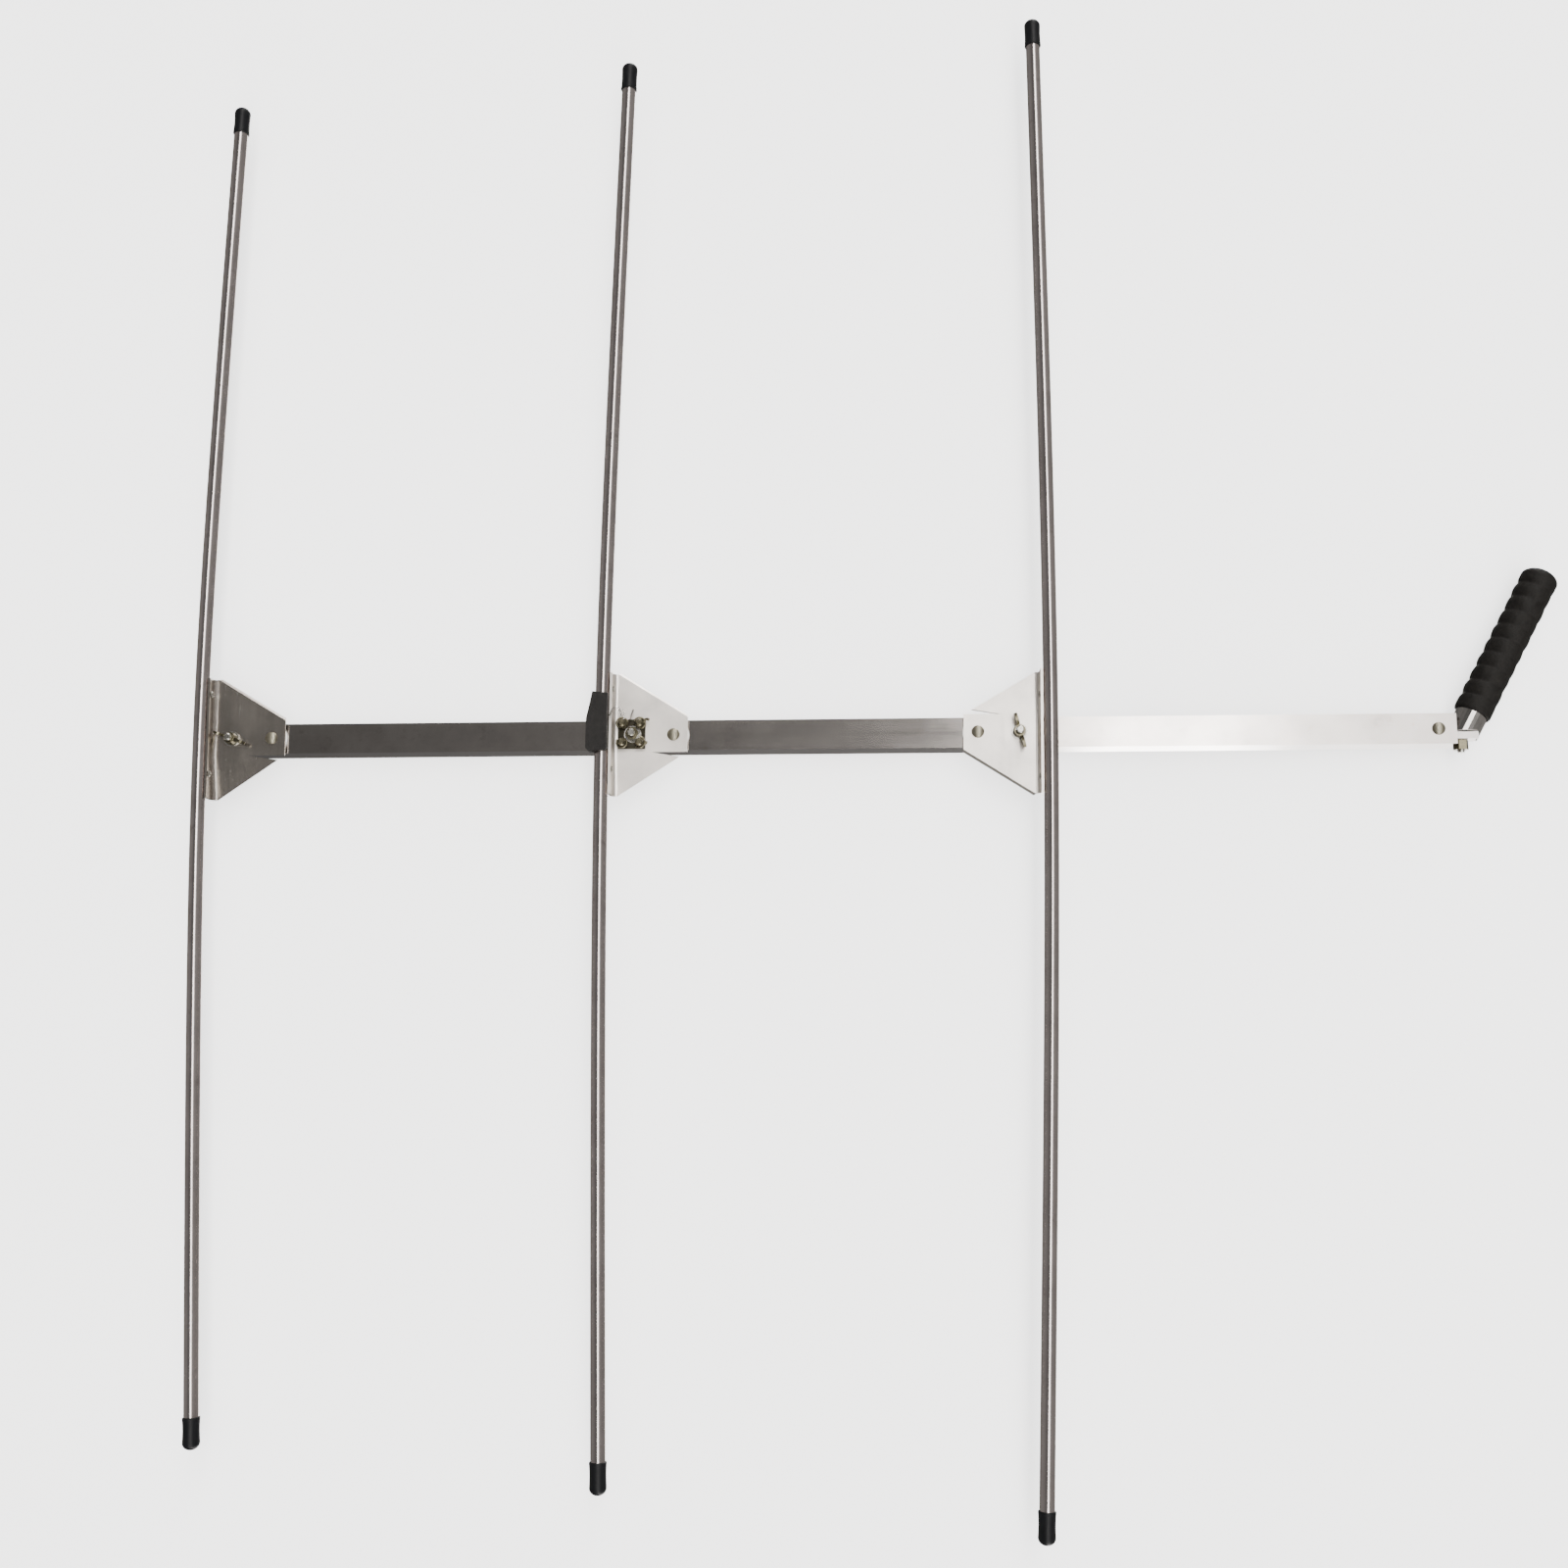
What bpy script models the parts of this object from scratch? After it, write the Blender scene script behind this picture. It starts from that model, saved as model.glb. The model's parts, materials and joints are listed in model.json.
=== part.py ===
"""Folding three-element yagi antenna with a pistol-type handle, lying on its back.

Frame: +X runs along the boom from the director to the handle, +Y is the direction of the
elements and +Z points away from the surface the antenna lies on.  Each element, with its
bracket, turns about a rivet through the boom.
"""
from math import atan, cos, hypot, pi, radians, sin, tan

import bmesh
import bpy
from mathutils import Matrix, Vector

# Driving dimensions, in metres.
GAP = 0.0003
BEVEL = 0.0006
OVERCUT = 0.002

DIRECTOR_HALF = 0.4555
DRIVEN_HALF = 0.4785
REFLECTOR_HALF = 0.5015
DRIVEN_SPACING = 0.272
REFLECTOR_SPACING = 0.2945
BOOM_TAIL = 0.2603
DIRECTOR_BOW = 0.0128
DRIVEN_BOW = 0.0089
REFLECTOR_BOW = 0.0079
BEND_SOFTNESS = 0.4
DIRECTOR_TURN = radians(0.9)
DRIVEN_TURN = radians(-0.25)
REFLECTOR_TURN = radians(179.4)

BOOM_WIDTH = 0.020
BOOM_WALL = 0.0015
BOOM_BACK_Z = 0.003
BOOM_START = 0.012
PLUG_DEPTH = 0.004
PLUG_RISE = 0.0015

TUBE_RADIUS = 0.00475
TUBE_WALL = 0.001
TUBE_SIDES = 16
TUBE_STEPS = 24
CAP_RADIUS = 0.0056
CAP_LENGTH = 0.020
CAP_DOME = 0.004

SHEET = 0.0016
ARM = 0.047
BRACKET_HALF = 0.0407
NOSE_X = 0.0093
NOSE_HALF = 0.0115
FOLD_Y = 0.0117
WEB_ANGLE = radians(10)
WEB_TOP_X = -0.015
WEB_END_X = 0.004
CURL_RADIUS = 0.0035
CURL_STEPS = 4
LIP_HEIGHT = 0.0085
RETURN_DEPTH = 0.002
RETURN_TRIM = 0.001

DISC_RADIUS = 0.0102
DISC_THICKNESS = 0.0012

RIVET_SHANK = 0.0026
RIVET_HEAD = 0.0042
RIVET_RISE = 0.0022

TUBE_RIVET_SHANK = 0.0012
TUBE_RIVET_HEAD = 0.0023
TUBE_RIVET_RISE = 0.0009
TUBE_RIVET_DROP = 0.0006
TUBE_RIVET_UPPER_Y = 0.030
TUBE_RIVET_LOWER_Y = -0.024

LOCK_REACH = 0.027
LOCK_SHANK = 0.0025
LOCK_HEAD = 0.0046
LOCK_TIP_RISE = 0.0098
LOCK_SLOT_START = radians(-7)
LOCK_SLOT_TURN = radians(44)
WASHER_RADIUS = 0.0052
WASHER_THICKNESS = 0.0008
LOCK_NUT_HEIGHT = 0.004
SLOT_HALF = 0.0031
WING_SPAN = 0.0236
WING_HUB = 0.0043
WING_HUB_HEIGHT = 0.0045
WING_RISE = 0.0075
WING_THICKNESS = 0.0018
EAR_RADIUS = 0.0036
EAR_ROOT = 0.0030
WING_TURNS = {"director": radians(-21), "reflector": radians(-74)}

HANDLE_LEAN = radians(28.5)
HANDLE_RADIUS = 0.0103
HANDLE_WALL = 0.0015
HANDLE_X = 0.0051
HANDLE_Y = -0.0035
GRIP_RADIUS = 0.0122
GRIP_LENGTH = 0.108
GRIP_MOUTH = 0.0165
GRIP_RIB = 0.008
GRIP_GROOVE = 0.0008
GRIP_COLLAR = 0.010
GRIP_SHOULDER = 0.007

TONGUE_Y = -0.0036
TONGUE_THICKNESS = 0.0048
TONGUE_WIDTH = 0.0125
TONGUE_INSIDE = 0.022
TONGUE_OUTSIDE = 0.0148

HANDLE_FOOT = -0.014
HANDLE_REACH = 0.100
HANDLE_SIDES = 24
MITRE_CLEARANCE = 0.0006
FOOT_BELOW_TONGUE = 0.0012
HANDLE_NUT_X = 0.0050
HANDLE_NUT_RADIUS = 0.0049
HANDLE_NUT_HEIGHT = 0.0062
HANDLE_BOLT_SHANK = 0.0022
HANDLE_BOLT_HEAD = 0.0036
HANDLE_BOLT_BELOW = 0.0080

BLOCK_BACK = 0.0095
BLOCK_FRONT = 0.0045
BLOCK_SINK = 0.0005
BLOCK_RISE = 0.0075
STRIP_EDGE_X = -0.0185
STRIP_HALF = 0.0098
STRIP_THICKNESS = 0.0016
TERMINAL_OUTER_X = -0.0332
TERMINAL_INNER_X = -0.0215
TERMINAL_Y = 0.0064
TERMINAL_RADIUS = 0.0029
TERMINAL_HEIGHT = 0.0082
WIRE_RADIUS = 0.0006

# Levels that follow from the stack boom, nylon disc, bracket sheet, tube.
BOOM_FRONT_Z = BOOM_BACK_Z + BOOM_WIDTH
BOOM_MID_Z = BOOM_BACK_Z + BOOM_WIDTH / 2
DISC_Z = BOOM_FRONT_Z + GAP
SHEET_BACK_Z = DISC_Z + DISC_THICKNESS + GAP
SHEET_MID_Z = SHEET_BACK_Z + SHEET / 2
SHEET_FRONT_Z = SHEET_BACK_Z + SHEET
TUBE_Z = SHEET_FRONT_Z + TUBE_RADIUS + GAP / 2
TUBE_X = -ARM
LIP_X = TUBE_X + TUBE_RADIUS + GAP + SHEET / 2
PLATE_X = LIP_X + CURL_RADIUS
BOOM_END = DRIVEN_SPACING + REFLECTOR_SPACING + BOOM_TAIL
HANDLE_RIVET_X = BOOM_END - 0.0115
REST_SHIFT_X = -0.44694
REST_SHIFT_Y = 0.00041

ALUMINIUM = (0.62, 0.60, 0.58)
DARK_METAL = (0.20, 0.18, 0.13)
STEEL = (0.55, 0.54, 0.50)
BLACK = (0.012, 0.011, 0.010)
NYLON = (0.80, 0.79, 0.75)


def clear_scene():
    """Remove whatever objects the scene starts with."""
    for old in list(bpy.data.objects):
        bpy.data.objects.remove(old, do_unlink=True)


def finish_mesh(name, bm, colour, metallic, roughness, sharp=radians(35)):
    """Turn a bmesh into a named, smooth-shaded object with its own Principled material."""
    bmesh.ops.remove_doubles(bm, verts=bm.verts, dist=1e-7)
    bmesh.ops.recalc_face_normals(bm, faces=bm.faces)
    mesh = bpy.data.meshes.new(name)
    bm.to_mesh(mesh)
    bm.free()
    mesh.shade_smooth()
    mesh.set_sharp_from_angle(angle=sharp)
    obj = bpy.data.objects.new(name, mesh)
    bpy.context.scene.collection.objects.link(obj)
    material = bpy.data.materials.new(name + "_material")
    material.use_nodes = True
    shader = material.node_tree.nodes["Principled BSDF"]
    shader.inputs["Base Color"].default_value = (*colour, 1.0)
    shader.inputs["Metallic"].default_value = metallic
    shader.inputs["Roughness"].default_value = roughness
    mesh.materials.append(material)
    return obj


def turned(profile, sides=20):
    """Closed solid of revolution about Z from (radius, height) points, on the axis at both ends."""
    bm = bmesh.new()
    rings = []
    for radius, height in profile:
        if radius < 1e-9:
            rings.append([bm.verts.new((0, 0, height))])
            continue
        angles = [2 * pi * k / sides for k in range(sides)]
        rings.append([bm.verts.new((radius * cos(a), radius * sin(a), height)) for a in angles])
    for low, high in zip(rings, rings[1:]):
        for k in range(sides):
            after = (k + 1) % sides
            corners = [low[k % len(low)], low[after % len(low)],
                       high[after % len(high)], high[k % len(high)]]
            bm.faces.new(list(dict.fromkeys(corners)))
    return bm


def prism(outline, bottom, top):
    """Closed prism on a list of (x, y) points."""
    bm = bmesh.new()
    low = [bm.verts.new((x, y, bottom)) for x, y in outline]
    high = [bm.verts.new((x, y, top)) for x, y in outline]
    bm.faces.new(low[::-1])
    bm.faces.new(high)
    count = len(outline)
    for k in range(count):
        after = (k + 1) % count
        bm.faces.new((low[k], low[after], high[after], high[k]))
    return bm


def box(low, high):
    """Closed box between two corners."""
    outline = [(low[0], low[1]), (high[0], low[1]), (high[0], high[1]), (low[0], high[1])]
    return prism(outline, low[2], high[2])


def circle(radius, sides, centre=(0.0, 0.0), phase=0.0):
    """Points of a regular polygon, as (x, y)."""
    angles = [phase + 2 * pi * k / sides for k in range(sides)]
    return [(centre[0] + radius * cos(a), centre[1] + radius * sin(a)) for a in angles]


def dome(radius, base, rise, steps=4, direction=1):
    """Profile points of a dome from its rim to the axis."""
    angles = [pi / 2 * k / steps for k in range(steps + 1)]
    return [(radius * cos(a) if k < steps else 0.0, base + direction * rise * sin(a))
            for k, a in enumerate(angles)]


def place(obj, parent=None, location=(0, 0, 0), rotation=(0, 0, 0)):
    """Put an object at its place under its parent."""
    obj.parent = parent
    obj.location = location
    obj.rotation_euler = rotation
    return obj


def cut(target, cutter_bm, parent, name):
    """Subtract a hidden cutter from an object."""
    mesh = bpy.data.meshes.new(name)
    bmesh.ops.recalc_face_normals(cutter_bm, faces=cutter_bm.faces)
    cutter_bm.to_mesh(mesh)
    cutter_bm.free()
    cutter = bpy.data.objects.new(name, mesh)
    bpy.context.scene.collection.objects.link(cutter)
    cutter.hide_render = True
    cutter.display_type = 'WIRE'
    cutter.parent = parent
    boolean = target.modifiers.new(name, 'BOOLEAN')
    boolean.operation = 'DIFFERENCE'
    boolean.solver = 'EXACT'
    boolean.object = cutter
    return cutter


def axis_x(y, half, bow):
    """X of an element's middle line: bent near its middle, straighter towards its ends."""
    rise = hypot(y / half, BEND_SOFTNESS) - BEND_SOFTNESS
    return TUBE_X + bow * rise / (hypot(1, BEND_SOFTNESS) - BEND_SOFTNESS)


def bowed_axis(half, bow, start, end, steps):
    """Points along an element whose two ends curve towards +X."""
    stations = [start + (end - start) * k / steps for k in range(steps + 1)]
    return [Vector((axis_x(y, half, bow), y, TUBE_Z)) for y in stations]


def pipe(points, outer, inner, sides=TUBE_SIDES):
    """Open-ended pipe round a path that runs mostly along Y."""
    bm = bmesh.new()
    rings = []
    for index, point in enumerate(points):
        before = points[max(index - 1, 0)]
        after = points[min(index + 1, len(points) - 1)]
        along = (after - before).normalized()
        across = along.cross(Vector((0, 0, 1))).normalized()
        pair = []
        for radius in (outer, inner):
            angles = [2 * pi * k / sides for k in range(sides)]
            pair.append([bm.verts.new(point + radius * (across * cos(a) + Vector((0, 0, sin(a)))))
                         for a in angles])
        rings.append(pair)
    for k in range(sides):
        after = (k + 1) % sides
        for (out_a, in_a), (out_b, in_b) in zip(rings, rings[1:]):
            bm.faces.new((out_a[k], out_a[after], out_b[after], out_b[k]))
            bm.faces.new((in_a[k], in_a[after], in_b[after], in_b[k]))
        for out_ring, in_ring in (rings[0], rings[-1]):
            bm.faces.new((out_ring[k], out_ring[after], in_ring[after], in_ring[k]))
    return bm


def slope_y(x):
    """Half height of the bracket's tapering outline at a distance from the pivot."""
    share = (x - PLATE_X) / (NOSE_X - PLATE_X)
    return BRACKET_HALF + (NOSE_HALF - BRACKET_HALF) * share


def web_z(y):
    """Level of the bent-back wing of the bracket below its fold line."""
    return SHEET_MID_Z - max(0.0, -y - FOLD_Y) * tan(WEB_ANGLE)


def make_bracket(name, parent):
    """One bent sheet: flat plate, bent-back wing, curled lip along the element, two holes."""
    bm = bmesh.new()

    def point(x, y, z):
        return bm.verts.new((x, y, z))

    top_wide = point(PLATE_X, BRACKET_HALF, SHEET_MID_Z)
    top_nose = point(NOSE_X, NOSE_HALF, SHEET_MID_Z)
    low_nose = point(NOSE_X, -FOLD_Y, SHEET_MID_Z)
    fold_end = point(WEB_TOP_X, -FOLD_Y, SHEET_MID_Z)
    fold_wide = point(PLATE_X, -FOLD_Y, SHEET_MID_Z)
    wing_end = point(WEB_END_X, -slope_y(WEB_END_X), web_z(-slope_y(WEB_END_X)))
    wing_wide = point(PLATE_X, -BRACKET_HALF, web_z(-BRACKET_HALF))
    bm.faces.new((top_wide, fold_wide, fold_end, low_nose, top_nose))
    bm.faces.new((fold_wide, wing_wide, wing_end, fold_end))

    lip_top = SHEET_MID_Z + LIP_HEIGHT
    columns = []
    for start in (top_wide, fold_wide, wing_wide):
        column = [start]
        for k in range(1, CURL_STEPS + 1):
            angle = pi / 2 * k / CURL_STEPS
            column.append(point(PLATE_X - CURL_RADIUS * sin(angle), start.co.y,
                                start.co.z + CURL_RADIUS * (1 - cos(angle))))
        column.append(point(LIP_X, start.co.y, lip_top))
        columns.append(column)
    for left, right in zip(columns, columns[1:]):
        for k in range(len(left) - 1):
            bm.faces.new((left[k], left[k + 1], right[k + 1], right[k]))

    edge = (top_nose.co - top_wide.co).normalized()
    outward = Vector((-edge.y, edge.x, 0))
    drop = outward * RETURN_DEPTH / 2 - Vector((0, 0, RETURN_DEPTH))
    wide_low = point(*(top_wide.co + drop + edge * RETURN_TRIM))
    nose_low = point(*(top_nose.co + drop - edge * RETURN_TRIM))
    bm.faces.new((top_wide, top_nose, nose_low, wide_low))

    bracket = finish_mesh(name, bm, ALUMINIUM, 1.0, 0.38)
    place(bracket, parent)
    solid = bracket.modifiers.new("sheet", 'SOLIDIFY')
    solid.thickness = SHEET
    solid.offset = 0.0
    solid.use_even_offset = True
    depth = (SHEET_BACK_Z - OVERCUT, SHEET_FRONT_Z + OVERCUT)
    cut(bracket, prism(circle(RIVET_SHANK + GAP, 20), *depth), parent, name + "_pivot_hole")
    lock = prism(circle(LOCK_SHANK + GAP, 20, (-LOCK_REACH, 0)), *depth)
    cut(bracket, lock, parent, name + "_lock_hole")
    return bracket


def make_caps(name, parent, half, bow):
    """Two rubber end caps, each a cup with a domed end that covers the end of the tube."""
    for label, sign in (("upper", 1), ("lower", -1)):
        seat = TUBE_RADIUS + GAP / 2
        body = CAP_LENGTH - CAP_DOME
        profile = [(0.0, CAP_LENGTH - CAP_DOME - 0.002), (seat, CAP_LENGTH - CAP_DOME - 0.002),
                   (seat, 0.0), (CAP_RADIUS - 0.0006, 0.0), (CAP_RADIUS, 0.0006), (CAP_RADIUS, body)]
        profile += dome(CAP_RADIUS, body, CAP_DOME, steps=4)[1:]
        cap = finish_mesh(f"{name}_cap_{label}", turned(profile, 16), BLACK, 0.0, 0.45)
        start = half - CAP_LENGTH
        lean = atan((axis_x(half, half, bow) - axis_x(start, half, bow)) / CAP_LENGTH)
        turn = (-pi / 2, 0, -lean) if sign > 0 else (pi / 2, 0, lean)
        place(cap, parent, (axis_x(start, half, bow), sign * start, TUBE_Z), turn)


def make_lock(name, parent, with_wings):
    """Lock bolt through plate and boom, with a wing nut, or a plain nut where wires are in the way."""
    axis = (-LOCK_REACH, 0, 0)
    flat = BOOM_BACK_Z - GAP
    tip = SHEET_FRONT_Z + LOCK_TIP_RISE
    profile = [(0, GAP), (LOCK_HEAD - BEVEL, GAP), (LOCK_HEAD, GAP + BEVEL), (LOCK_HEAD, flat),
               (LOCK_SHANK, flat), (LOCK_SHANK, tip - BEVEL), (LOCK_SHANK - BEVEL, tip), (0, tip)]
    bolt = finish_mesh(name + "_lock_bolt", turned(profile, 16), STEEL, 1.0, 0.35)
    place(bolt, parent, axis)
    base = SHEET_FRONT_Z + GAP
    washer = prism(circle(WASHER_RADIUS, 20), base, base + WASHER_THICKNESS)
    washer_object = finish_mesh(name + "_lock_washer", washer, STEEL, 1.0, 0.3)
    place(washer_object, parent, axis)
    hole = prism(circle(LOCK_SHANK + GAP, 16), base - OVERCUT, base + WASHER_THICKNESS + OVERCUT)
    cut(washer_object, hole, parent, name + "_lock_washer_hole").location = axis
    seat = base + WASHER_THICKNESS + GAP
    if with_wings:
        make_wing_nut(name, parent, seat)
        return
    hexagon = prism(circle(LOCK_HEAD, 6), seat, seat + LOCK_NUT_HEIGHT)
    nut = finish_mesh(name + "_lock_nut", hexagon, DARK_METAL, 1.0, 0.4)
    place(nut, parent, axis)
    bore = prism(circle(LOCK_SHANK + GAP, 16), seat - OVERCUT, seat + LOCK_NUT_HEIGHT + OVERCUT)
    cut(nut, bore, parent, name + "_lock_nut_hole").location = axis


def make_wing_nut(name, parent, seat):
    """Wing nut: a tapered hub with two upswept ears of rounded outline."""
    hub = [(0, 0), (WING_HUB, 0), (WING_HUB - BEVEL, WING_HUB_HEIGHT), (0, WING_HUB_HEIGHT)]
    nut = finish_mesh(name + "_wing_nut", turned(hub, 16), DARK_METAL, 1.0, 0.35)
    turn = (0, 0, WING_TURNS[name])
    place(nut, parent, (-LOCK_REACH, 0, seat), turn)
    centre_x = WING_SPAN / 2 - EAR_RADIUS
    centre_z = WING_RISE - EAR_RADIUS
    for index, side in enumerate((1, -1)):
        rim = [(centre_x + EAR_RADIUS * cos(a), centre_z + EAR_RADIUS * sin(a))
               for a in [radians(-50 + 190 * k / 9) for k in range(10)]]
        outline = [(EAR_ROOT, BEVEL)] + rim + [(EAR_ROOT, WING_HUB_HEIGHT - BEVEL)]
        ear = prism([(side * x, z) for x, z in outline], -WING_THICKNESS / 2, WING_THICKNESS / 2)
        bmesh.ops.rotate(ear, verts=ear.verts, matrix=Matrix.Rotation(pi / 2, 3, 'X'))
        bmesh.ops.recalc_face_normals(ear, faces=ear.faces)
        mesh = bpy.data.meshes.new(f"{name}_ear_{index}")
        ear.to_mesh(mesh)
        ear.free()
        guide = bpy.data.objects.new(f"{name}_ear_{index}", mesh)
        bpy.context.scene.collection.objects.link(guide)
        guide.hide_render = True
        guide.display_type = 'WIRE'
        place(guide, parent, (-LOCK_REACH, 0, seat), turn)
        joined = nut.modifiers.new(f"ear_{index}", 'BOOLEAN')
        joined.operation = 'UNION'
        joined.solver = 'EXACT'
        joined.object = guide
    bore = prism(circle(LOCK_SHANK + GAP, 16), -OVERCUT, WING_HUB_HEIGHT + OVERCUT)
    cut(nut, bore, parent, name + "_wing_bore").location = (-LOCK_REACH, 0, seat)


def make_tube_rivets(name, parent, half, bow):
    """Two blind rivets through the lip into the side of the tube."""
    shank = TUBE_RIVET_SHANK
    clear = shank + GAP
    head = LIP_X + SHEET / 2 + GAP
    crown = head + TUBE_RIVET_RISE
    for label, y in (("upper", TUBE_RIVET_UPPER_Y), ("lower", TUBE_RIVET_LOWER_Y)):
        tail = axis_x(y, half, bow) + TUBE_RADIUS - 2 * TUBE_WALL
        profile = [(0, tail), (shank, tail), (shank, head), (TUBE_RIVET_HEAD, head),
                   (TUBE_RIVET_HEAD * 0.8, head + TUBE_RIVET_RISE * 0.7), (TUBE_RIVET_HEAD * 0.35, crown),
                   (0, crown)]
        rivet = finish_mesh(f"{name}_tube_rivet_{label}", turned(profile, 12), STEEL, 1.0, 0.35)
        spot = (0, y, TUBE_Z - TUBE_RIVET_DROP)
        sideways = (0, pi / 2, 0)
        place(rivet, parent, spot, sideways)
        for target_name in (f"{name}_bracket", f"{name}_tube"):
            low, high = tail - OVERCUT, head + OVERCUT
            hole = turned([(0, low), (clear, low), (clear, high), (0, high)], 12)
            cutter = cut(bpy.data.objects[target_name], hole, parent, f"{target_name}_rivet_{label}")
            place(cutter, parent, spot, sideways)


def make_element(name, pivot_x, turn, half, bow, with_wings):
    """Everything that folds about one rivet, built round the rivet's axis."""
    hinge = bpy.data.objects.new(name + "_pivot", None)
    bpy.context.scene.collection.objects.link(hinge)
    hinge.location = (pivot_x + REST_SHIFT_X, REST_SHIFT_Y, 0)
    hinge.rotation_euler = (0, 0, turn)

    axis = bowed_axis(half, bow, -(half - 0.008), half - 0.008, TUBE_STEPS)
    tube = finish_mesh(name + "_tube", pipe(axis, TUBE_RADIUS, TUBE_RADIUS - TUBE_WALL), ALUMINIUM, 1.0, 0.3)
    place(tube, hinge)
    make_bracket(name + "_bracket", hinge)
    make_caps(name, hinge, half, bow)
    make_tube_rivets(name, hinge, half, bow)

    disc = prism(circle(DISC_RADIUS, 28), DISC_Z, DISC_Z + DISC_THICKNESS)
    disc_object = finish_mesh(name + "_nylon_disc", disc, NYLON, 0.0, 0.5)
    place(disc_object, hinge)
    cut(disc_object, prism(circle(RIVET_SHANK + GAP, 20), DISC_Z - 0.001, DISC_Z + 0.003), hinge,
        name + "_disc_hole")
    make_lock(name, hinge, with_wings)
    return hinge


def make_rivet(name, x, y=0.0, front=SHEET_FRONT_Z):
    """Domed rivet right through the boom, from a low back head to the front head."""
    back = BOOM_BACK_Z - GAP
    top = front + GAP
    profile = dome(RIVET_HEAD, back, back, direction=-1)[::-1]
    profile += [(RIVET_SHANK, back), (RIVET_SHANK, top)]
    profile += dome(RIVET_HEAD, top, RIVET_RISE)
    rivet = finish_mesh(name, turned(profile, 20), DARK_METAL, 1.0, 0.35)
    place(rivet, None, (x + REST_SHIFT_X, REST_SHIFT_Y + y, 0))
    return rivet


def make_boom(pivots):
    """Square tube with rivet holes and, at each bracket, an open slot that frees the lock bolt."""
    half = BOOM_WIDTH / 2
    bm = bmesh.new()
    rings = []
    for x in (BOOM_START, BOOM_END):
        pair = []
        for reach in (half, half - BOOM_WALL):
            square = [(-reach, -reach), (reach, -reach), (reach, reach), (-reach, reach)]
            pair.append([bm.verts.new((x, y, BOOM_MID_Z + z)) for y, z in square])
        rings.append(pair)
    for k in range(4):
        after = (k + 1) % 4
        for ring_a, ring_b in zip(*rings):
            bm.faces.new((ring_a[k], ring_a[after], ring_b[after], ring_b[k]))
        for out_ring, in_ring in rings:
            bm.faces.new((out_ring[k], out_ring[after], in_ring[after], in_ring[k]))
    boom = finish_mesh("boom", bm, ALUMINIUM, 1.0, 0.35)
    place(boom, None, (REST_SHIFT_X, REST_SHIFT_Y, 0))
    low, high = BOOM_BACK_Z - 0.002, BOOM_FRONT_Z + 0.002
    for name, (x, facing) in pivots.items():
        cut(boom, prism(circle(RIVET_SHANK + GAP, 16, (x, 0)), low, high), boom, name + "_rivet_hole")
        angles = [LOCK_SLOT_START + LOCK_SLOT_TURN * k / 6 for k in range(7)]
        outer = [(LOCK_REACH + SLOT_HALF, a) for a in angles]
        inner = [(LOCK_REACH - SLOT_HALF, a) for a in reversed(angles)]
        arc = [(x - facing * r * cos(a), -facing * r * sin(a)) for r, a in outer + inner]
        cut(boom, prism(arc, low, high), boom, name + "_lock_slot")
    hole = prism(circle(RIVET_SHANK + GAP, 16, (HANDLE_RIVET_X, 0)), low, high)
    cut(boom, hole, boom, "handle_rivet_hole")

    reach = half - BOOM_WALL - GAP
    plug = box((BOOM_START - PLUG_RISE, -reach, BOOM_MID_Z - reach),
               (BOOM_START + PLUG_DEPTH, reach, BOOM_MID_Z + reach))
    plug_object = finish_mesh("boom_end_plug", plug, BLACK, 0.0, 0.5)
    place(plug_object, None, (REST_SHIFT_X, REST_SHIFT_Y, 0))
    return boom


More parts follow.
